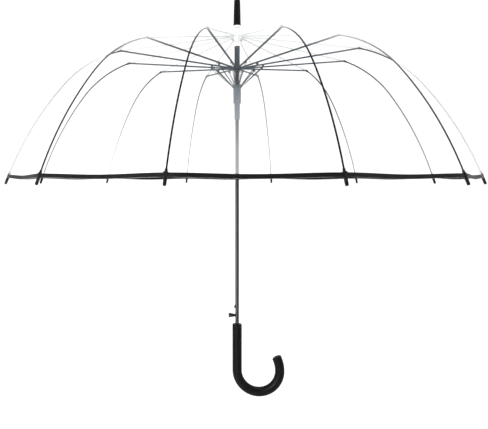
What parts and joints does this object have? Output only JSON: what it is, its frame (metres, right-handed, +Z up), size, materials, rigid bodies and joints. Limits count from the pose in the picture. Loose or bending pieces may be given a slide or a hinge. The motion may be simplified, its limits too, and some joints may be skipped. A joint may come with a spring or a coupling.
{
  "type": "clear bubble umbrella",
  "caption": "Open clear dome umbrella with a black edge band, slim sprung ribs, a push-button shaft and a black hooked handle; it folds down along the shaft.",
  "frame": {"origin": "middle of the handle's straight part, on the shaft's axis", "axes": "+Z up the shaft to the ferrule; +X to the side where the handle hooks; -X to the release button"},
  "size_m": [1.0072, 1.0072, 0.916],
  "materials": {
    "shaft_metal": "dark gloss enamel",
    "handle_plastic": "black, satin gloss",
    "ferrule_plastic": "black, satin",
    "washer_plastic": "translucent",
    "clear_film": "clear, glossy",
    "band": "black",
    "notch_plastic": "moulded, translucent white",
    "runner_plastic": "dark blue-grey, moulded",
    "spring_steel": "bright drawn wire",
    "catch_steel": "plain",
    "button_plastic": "black, moulded",
    "rib_black": "black fibre rod",
    "stretcher_steel": "dark grey"
  },
  "bodies": {
    "root": {"shaft": "shaft_metal", "handle": "handle_plastic", "ferrule": "ferrule_plastic", "canopy_washer": "washer_plastic", "canopy": "clear_film", "edge_band": "band", "top_notch": "notch_plastic"},
    "rib_inner_01": {"rib_inner_01": "rib_black"},
    "rib_inner_02": {"rib_inner_02": "rib_black"},
    "rib_inner_03": {"rib_inner_03": "rib_black"},
    "rib_inner_04": {"rib_inner_04": "rib_black"},
    "rib_inner_05": {"rib_inner_05": "rib_black"},
    "rib_inner_06": {"rib_inner_06": "rib_black"},
    "rib_inner_07": {"rib_inner_07": "rib_black"},
    "rib_inner_08": {"rib_inner_08": "rib_black"},
    "rib_inner_09": {"rib_inner_09": "rib_black"},
    "rib_inner_10": {"rib_inner_10": "rib_black"},
    "rib_inner_11": {"rib_inner_11": "rib_black"},
    "rib_inner_12": {"rib_inner_12": "rib_black"},
    "rib_outer_01": {"rib_outer_01": "rib_black"},
    "rib_outer_02": {"rib_outer_02": "rib_black"},
    "rib_outer_03": {"rib_outer_03": "rib_black"},
    "rib_outer_04": {"rib_outer_04": "rib_black"},
    "rib_outer_05": {"rib_outer_05": "rib_black"},
    "rib_outer_06": {"rib_outer_06": "rib_black"},
    "rib_outer_07": {"rib_outer_07": "rib_black"},
    "rib_outer_08": {"rib_outer_08": "rib_black"},
    "rib_outer_09": {"rib_outer_09": "rib_black"},
    "rib_outer_10": {"rib_outer_10": "rib_black"},
    "rib_outer_11": {"rib_outer_11": "rib_black"},
    "rib_outer_12": {"rib_outer_12": "rib_black"},
    "stretcher_01": {"stretcher_01": "stretcher_steel"},
    "stretcher_02": {"stretcher_02": "stretcher_steel"},
    "stretcher_03": {"stretcher_03": "stretcher_steel"},
    "stretcher_04": {"stretcher_04": "stretcher_steel"},
    "stretcher_05": {"stretcher_05": "stretcher_steel"},
    "stretcher_06": {"stretcher_06": "stretcher_steel"},
    "stretcher_07": {"stretcher_07": "stretcher_steel"},
    "stretcher_08": {"stretcher_08": "stretcher_steel"},
    "stretcher_09": {"stretcher_09": "stretcher_steel"},
    "stretcher_10": {"stretcher_10": "stretcher_steel"},
    "stretcher_11": {"stretcher_11": "stretcher_steel"},
    "stretcher_12": {"stretcher_12": "stretcher_steel"},
    "strut_01": {"strut_01": "stretcher_steel"},
    "strut_02": {"strut_02": "stretcher_steel"},
    "strut_03": {"strut_03": "stretcher_steel"},
    "strut_04": {"strut_04": "stretcher_steel"},
    "strut_05": {"strut_05": "stretcher_steel"},
    "strut_06": {"strut_06": "stretcher_steel"},
    "strut_07": {"strut_07": "stretcher_steel"},
    "strut_08": {"strut_08": "stretcher_steel"},
    "strut_09": {"strut_09": "stretcher_steel"},
    "strut_10": {"strut_10": "stretcher_steel"},
    "strut_11": {"strut_11": "stretcher_steel"},
    "strut_12": {"strut_12": "stretcher_steel"},
    "upper_runner": {"upper_runner": "runner_plastic", "main_spring": "spring_steel"},
    "lower_runner": {"lower_runner": "runner_plastic"},
    "catch": {"catch": "catch_steel"},
    "release_button": {"release_button": "button_plastic"}
  },
  "joints": [
    {"name": "open_close", "type": "hinge", "parent": "root", "child": "rib_inner_01", "pos_m": [0.00247, -0.00761, 0.7], "axis": [0.9511, 0.309, 0], "range_deg": [0, 79.85], "stiffness_Nm_per_rad": 0.12, "springref_deg": -57.3, "deforming": ["canopy", "edge_band"]},
    {"name": "stretcher_01_pivot", "type": "hinge", "parent": "rib_inner_01", "child": "stretcher_01", "pos_m": [0.08282, -0.25488, 0.672], "axis": [0.9511, 0.309, 0], "range_deg": [-160.7, 1]},
    {"name": "rib_01_spring_bend", "type": "hinge", "parent": "rib_inner_01", "child": "rib_outer_01", "pos_m": [0.08282, -0.25488, 0.672], "axis": [0.9511, 0.309, 0], "range_deg": [-43.56, 1]},
    {"name": "strut_01_pivot", "type": "hinge", "parent": "stretcher_01", "child": "strut_01", "pos_m": [0.01858, -0.05719, 0.64559], "axis": [0.9511, 0.309, 0], "range_deg": [-1, 36.59]},
    {"name": "rib_02_fold", "type": "hinge", "parent": "root", "child": "rib_inner_02", "pos_m": [0.00594, -0.00535, 0.7], "axis": [0.6691, 0.7431, 0], "range_deg": [-0.5, 80.35], "stiffness_Nm_per_rad": 0.12, "springref_deg": -57.3},
    {"name": "stretcher_02_pivot", "type": "hinge", "parent": "rib_inner_02", "child": "stretcher_02", "pos_m": [0.19916, -0.17933, 0.672], "axis": [0.6691, 0.7431, 0], "range_deg": [-160.7, 1]},
    {"name": "rib_02_spring_bend", "type": "hinge", "parent": "rib_inner_02", "child": "rib_outer_02", "pos_m": [0.19916, -0.17933, 0.672], "axis": [0.6691, 0.7431, 0], "range_deg": [-43.56, 1]},
    {"name": "strut_02_pivot", "type": "hinge", "parent": "stretcher_02", "child": "strut_02", "pos_m": [0.04469, -0.04023, 0.64559], "axis": [0.6691, 0.7431, 0], "range_deg": [-1, 36.59]},
    {"name": "rib_03_fold", "type": "hinge", "parent": "root", "child": "rib_inner_03", "pos_m": [0.00783, -0.00166, 0.7], "axis": [0.2079, 0.9781, 0], "range_deg": [-0.5, 80.35], "stiffness_Nm_per_rad": 0.12, "springref_deg": -57.3},
    {"name": "stretcher_03_pivot", "type": "hinge", "parent": "rib_inner_03", "child": "stretcher_03", "pos_m": [0.26214, -0.05572, 0.672], "axis": [0.2079, 0.9781, 0], "range_deg": [-160.7, 1]},
    {"name": "rib_03_spring_bend", "type": "hinge", "parent": "rib_inner_03", "child": "rib_outer_03", "pos_m": [0.26214, -0.05572, 0.672], "axis": [0.2079, 0.9781, 0], "range_deg": [-43.56, 1]},
    {"name": "strut_03_pivot", "type": "hinge", "parent": "stretcher_03", "child": "strut_03", "pos_m": [0.05881, -0.0125, 0.64559], "axis": [0.2079, 0.9781, 0], "range_deg": [-1, 36.59]},
    {"name": "rib_04_fold", "type": "hinge", "parent": "root", "child": "rib_inner_04", "pos_m": [0.00761, 0.00247, 0.7], "axis": [-0.309, 0.9511, 0], "range_deg": [-0.5, 80.35], "stiffness_Nm_per_rad": 0.12, "springref_deg": -57.3},
    {"name": "stretcher_04_pivot", "type": "hinge", "parent": "rib_inner_04", "child": "stretcher_04", "pos_m": [0.25488, 0.08282, 0.672], "axis": [-0.309, 0.9511, 0], "range_deg": [-160.7, 1]},
    {"name": "rib_04_spring_bend", "type": "hinge", "parent": "rib_inner_04", "child": "rib_outer_04", "pos_m": [0.25488, 0.08282, 0.672], "axis": [-0.309, 0.9511, 0], "range_deg": [-43.56, 1]},
    {"name": "strut_04_pivot", "type": "hinge", "parent": "stretcher_04", "child": "strut_04", "pos_m": [0.05719, 0.01858, 0.64559], "axis": [-0.309, 0.9511, 0], "range_deg": [-1, 36.59]},
    {"name": "rib_05_fold", "type": "hinge", "parent": "root", "child": "rib_inner_05", "pos_m": [0.00535, 0.00594, 0.7], "axis": [-0.7431, 0.6691, 0], "range_deg": [-0.5, 80.35], "stiffness_Nm_per_rad": 0.12, "springref_deg": -57.3},
    {"name": "stretcher_05_pivot", "type": "hinge", "parent": "rib_inner_05", "child": "stretcher_05", "pos_m": [0.17933, 0.19916, 0.672], "axis": [-0.7431, 0.6691, 0], "range_deg": [-160.7, 1]},
    {"name": "rib_05_spring_bend", "type": "hinge", "parent": "rib_inner_05", "child": "rib_outer_05", "pos_m": [0.17933, 0.19916, 0.672], "axis": [-0.7431, 0.6691, 0], "range_deg": [-43.56, 1]},
    {"name": "strut_05_pivot", "type": "hinge", "parent": "stretcher_05", "child": "strut_05", "pos_m": [0.04023, 0.04469, 0.64559], "axis": [-0.7431, 0.6691, 0], "range_deg": [-1, 36.59]},
    {"name": "rib_06_fold", "type": "hinge", "parent": "root", "child": "rib_inner_06", "pos_m": [0.00166, 0.00783, 0.7], "axis": [-0.9781, 0.2079, 0], "range_deg": [-0.5, 80.35], "stiffness_Nm_per_rad": 0.12, "springref_deg": -57.3},
    {"name": "stretcher_06_pivot", "type": "hinge", "parent": "rib_inner_06", "child": "stretcher_06", "pos_m": [0.05572, 0.26214, 0.672], "axis": [-0.9781, 0.2079, 0], "range_deg": [-160.7, 1]},
    {"name": "rib_06_spring_bend", "type": "hinge", "parent": "rib_inner_06", "child": "rib_outer_06", "pos_m": [0.05572, 0.26214, 0.672], "axis": [-0.9781, 0.2079, 0], "range_deg": [-43.56, 1]},
    {"name": "strut_06_pivot", "type": "hinge", "parent": "stretcher_06", "child": "strut_06", "pos_m": [0.0125, 0.05881, 0.64559], "axis": [-0.9781, 0.2079, 0], "range_deg": [-1, 36.59]},
    {"name": "rib_07_fold", "type": "hinge", "parent": "root", "child": "rib_inner_07", "pos_m": [-0.00247, 0.00761, 0.7], "axis": [-0.9511, -0.309, 0], "range_deg": [-0.5, 80.35], "stiffness_Nm_per_rad": 0.12, "springref_deg": -57.3},
    {"name": "stretcher_07_pivot", "type": "hinge", "parent": "rib_inner_07", "child": "stretcher_07", "pos_m": [-0.08282, 0.25488, 0.672], "axis": [-0.9511, -0.309, 0], "range_deg": [-160.7, 1]},
    {"name": "rib_07_spring_bend", "type": "hinge", "parent": "rib_inner_07", "child": "rib_outer_07", "pos_m": [-0.08282, 0.25488, 0.672], "axis": [-0.9511, -0.309, 0], "range_deg": [-43.56, 1]},
    {"name": "strut_07_pivot", "type": "hinge", "parent": "stretcher_07", "child": "strut_07", "pos_m": [-0.01858, 0.05719, 0.64559], "axis": [-0.9511, -0.309, 0], "range_deg": [-1, 36.59]},
    {"name": "rib_08_fold", "type": "hinge", "parent": "root", "child": "rib_inner_08", "pos_m": [-0.00594, 0.00535, 0.7], "axis": [-0.6691, -0.7431, 0], "range_deg": [-0.5, 80.35], "stiffness_Nm_per_rad": 0.12, "springref_deg": -57.3},
    {"name": "stretcher_08_pivot", "type": "hinge", "parent": "rib_inner_08", "child": "stretcher_08", "pos_m": [-0.19916, 0.17933, 0.672], "axis": [-0.6691, -0.7431, 0], "range_deg": [-160.7, 1]},
    {"name": "rib_08_spring_bend", "type": "hinge", "parent": "rib_inner_08", "child": "rib_outer_08", "pos_m": [-0.19916, 0.17933, 0.672], "axis": [-0.6691, -0.7431, 0], "range_deg": [-43.56, 1]},
    {"name": "strut_08_pivot", "type": "hinge", "parent": "stretcher_08", "child": "strut_08", "pos_m": [-0.04469, 0.04023, 0.64559], "axis": [-0.6691, -0.7431, 0], "range_deg": [-1, 36.59]},
    {"name": "rib_09_fold", "type": "hinge", "parent": "root", "child": "rib_inner_09", "pos_m": [-0.00783, 0.00166, 0.7], "axis": [-0.2079, -0.9781, 0], "range_deg": [-0.5, 80.35], "stiffness_Nm_per_rad": 0.12, "springref_deg": -57.3},
    {"name": "stretcher_09_pivot", "type": "hinge", "parent": "rib_inner_09", "child": "stretcher_09", "pos_m": [-0.26214, 0.05572, 0.672], "axis": [-0.2079, -0.9781, 0], "range_deg": [-160.7, 1]},
    {"name": "rib_09_spring_bend", "type": "hinge", "parent": "rib_inner_09", "child": "rib_outer_09", "pos_m": [-0.26214, 0.05572, 0.672], "axis": [-0.2079, -0.9781, 0], "range_deg": [-43.56, 1]},
    {"name": "strut_09_pivot", "type": "hinge", "parent": "stretcher_09", "child": "strut_09", "pos_m": [-0.05881, 0.0125, 0.64559], "axis": [-0.2079, -0.9781, 0], "range_deg": [-1, 36.59]},
    {"name": "rib_10_fold", "type": "hinge", "parent": "root", "child": "rib_inner_10", "pos_m": [-0.00761, -0.00247, 0.7], "axis": [0.309, -0.9511, 0], "range_deg": [-0.5, 80.35], "stiffness_Nm_per_rad": 0.12, "springref_deg": -57.3},
    {"name": "stretcher_10_pivot", "type": "hinge", "parent": "rib_inner_10", "child": "stretcher_10", "pos_m": [-0.25488, -0.08282, 0.672], "axis": [0.309, -0.9511, 0], "range_deg": [-160.7, 1]},
    {"name": "rib_10_spring_bend", "type": "hinge", "parent": "rib_inner_10", "child": "rib_outer_10", "pos_m": [-0.25488, -0.08282, 0.672], "axis": [0.309, -0.9511, 0], "range_deg": [-43.56, 1]},
    {"name": "strut_10_pivot", "type": "hinge", "parent": "stretcher_10", "child": "strut_10", "pos_m": [-0.05719, -0.01858, 0.64559], "axis": [0.309, -0.9511, 0], "range_deg": [-1, 36.59]},
    {"name": "rib_11_fold", "type": "hinge", "parent": "root", "child": "rib_inner_11", "pos_m": [-0.00535, -0.00594, 0.7], "axis": [0.7431, -0.6691, 0], "range_deg": [-0.5, 80.35], "stiffness_Nm_per_rad": 0.12, "springref_deg": -57.3},
    {"name": "stretcher_11_pivot", "type": "hinge", "parent": "rib_inner_11", "child": "stretcher_11", "pos_m": [-0.17933, -0.19916, 0.672], "axis": [0.7431, -0.6691, 0], "range_deg": [-160.7, 1]},
    {"name": "rib_11_spring_bend", "type": "hinge", "parent": "rib_inner_11", "child": "rib_outer_11", "pos_m": [-0.17933, -0.19916, 0.672], "axis": [0.7431, -0.6691, 0], "range_deg": [-43.56, 1]},
    {"name": "strut_11_pivot", "type": "hinge", "parent": "stretcher_11", "child": "strut_11", "pos_m": [-0.04023, -0.04469, 0.64559], "axis": [0.7431, -0.6691, 0], "range_deg": [-1, 36.59]},
    {"name": "rib_12_fold", "type": "hinge", "parent": "root", "child": "rib_inner_12", "pos_m": [-0.00166, -0.00783, 0.7], "axis": [0.9781, -0.2079, 0], "range_deg": [-0.5, 80.35], "stiffness_Nm_per_rad": 0.12, "springref_deg": -57.3},
    {"name": "stretcher_12_pivot", "type": "hinge", "parent": "rib_inner_12", "child": "stretcher_12", "pos_m": [-0.05572, -0.26214, 0.672], "axis": [0.9781, -0.2079, 0], "range_deg": [-160.7, 1]},
    {"name": "rib_12_spring_bend", "type": "hinge", "parent": "rib_inner_12", "child": "rib_outer_12", "pos_m": [-0.05572, -0.26214, 0.672], "axis": [0.9781, -0.2079, 0], "range_deg": [-43.56, 1]},
    {"name": "strut_12_pivot", "type": "hinge", "parent": "stretcher_12", "child": "strut_12", "pos_m": [-0.0125, -0.05881, 0.64559], "axis": [0.9781, -0.2079, 0], "range_deg": [-1, 36.59]},
    {"name": "upper_runner_pivot", "type": "hinge", "parent": "stretcher_01", "child": "upper_runner", "pos_m": [0.00247, -0.00761, 0.644], "axis": [0.9511, 0.309, 0], "range_deg": [-1, 80.85]},
    {"name": "lower_runner_slide", "type": "slide", "parent": "upper_runner", "child": "lower_runner", "axis": [0, 0, 1], "range_m": [-0.001, 0.02874], "deforming": ["main_spring"]},
    {"name": "button_press", "type": "slide", "parent": "root", "child": "release_button", "axis": [1, 0, 0], "range_m": [0, 0.0035], "stiffness_N_per_m": 300, "springref_m": -0.002},
    {"name": "catch_retract", "type": "slide", "parent": "root", "child": "catch", "axis": [1, 0, 0], "range_m": [-0.0001, 0.0036]}
  ],
  "couplings": [
    {"joint": "stretcher_01_pivot", "follows": "open_close", "ratio": -2},
    {"joint": "rib_01_spring_bend", "follows": "open_close", "ratio": -0.533},
    {"joint": "strut_01_pivot", "follows": "open_close", "ratio": 0.4457},
    {"joint": "rib_02_fold", "follows": "open_close", "ratio": 1},
    {"joint": "stretcher_02_pivot", "follows": "open_close", "ratio": -2},
    {"joint": "rib_02_spring_bend", "follows": "open_close", "ratio": -0.533},
    {"joint": "strut_02_pivot", "follows": "open_close", "ratio": 0.4457},
    {"joint": "rib_03_fold", "follows": "open_close", "ratio": 1},
    {"joint": "stretcher_03_pivot", "follows": "open_close", "ratio": -2},
    {"joint": "rib_03_spring_bend", "follows": "open_close", "ratio": -0.533},
    {"joint": "strut_03_pivot", "follows": "open_close", "ratio": 0.4457},
    {"joint": "rib_04_fold", "follows": "open_close", "ratio": 1},
    {"joint": "stretcher_04_pivot", "follows": "open_close", "ratio": -2},
    {"joint": "rib_04_spring_bend", "follows": "open_close", "ratio": -0.533},
    {"joint": "strut_04_pivot", "follows": "open_close", "ratio": 0.4457},
    {"joint": "rib_05_fold", "follows": "open_close", "ratio": 1},
    {"joint": "stretcher_05_pivot", "follows": "open_close", "ratio": -2},
    {"joint": "rib_05_spring_bend", "follows": "open_close", "ratio": -0.533},
    {"joint": "strut_05_pivot", "follows": "open_close", "ratio": 0.4457},
    {"joint": "rib_06_fold", "follows": "open_close", "ratio": 1},
    {"joint": "stretcher_06_pivot", "follows": "open_close", "ratio": -2},
    {"joint": "rib_06_spring_bend", "follows": "open_close", "ratio": -0.533},
    {"joint": "strut_06_pivot", "follows": "open_close", "ratio": 0.4457},
    {"joint": "rib_07_fold", "follows": "open_close", "ratio": 1},
    {"joint": "stretcher_07_pivot", "follows": "open_close", "ratio": -2},
    {"joint": "rib_07_spring_bend", "follows": "open_close", "ratio": -0.533},
    {"joint": "strut_07_pivot", "follows": "open_close", "ratio": 0.4457},
    {"joint": "rib_08_fold", "follows": "open_close", "ratio": 1},
    {"joint": "stretcher_08_pivot", "follows": "open_close", "ratio": -2},
    {"joint": "rib_08_spring_bend", "follows": "open_close", "ratio": -0.533},
    {"joint": "strut_08_pivot", "follows": "open_close", "ratio": 0.4457},
    {"joint": "rib_09_fold", "follows": "open_close", "ratio": 1},
    {"joint": "stretcher_09_pivot", "follows": "open_close", "ratio": -2},
    {"joint": "rib_09_spring_bend", "follows": "open_close", "ratio": -0.533},
    {"joint": "strut_09_pivot", "follows": "open_close", "ratio": 0.4457},
    {"joint": "rib_10_fold", "follows": "open_close", "ratio": 1},
    {"joint": "stretcher_10_pivot", "follows": "open_close", "ratio": -2},
    {"joint": "rib_10_spring_bend", "follows": "open_close", "ratio": -0.533},
    {"joint": "strut_10_pivot", "follows": "open_close", "ratio": 0.4457},
    {"joint": "rib_11_fold", "follows": "open_close", "ratio": 1},
    {"joint": "stretcher_11_pivot", "follows": "open_close", "ratio": -2},
    {"joint": "rib_11_spring_bend", "follows": "open_close", "ratio": -0.533},
    {"joint": "strut_11_pivot", "follows": "open_close", "ratio": 0.4457},
    {"joint": "rib_12_fold", "follows": "open_close", "ratio": 1},
    {"joint": "stretcher_12_pivot", "follows": "open_close", "ratio": -2},
    {"joint": "rib_12_spring_bend", "follows": "open_close", "ratio": -0.533},
    {"joint": "strut_12_pivot", "follows": "open_close", "ratio": 0.4457},
    {"joint": "upper_runner_pivot", "follows": "open_close", "ratio": 1},
    {"joint": "lower_runner_slide", "follows": "open_close", "m_per_rad": 0.019902},
    {"joint": "catch_retract", "follows": "button_press", "ratio": 1}
  ]
}
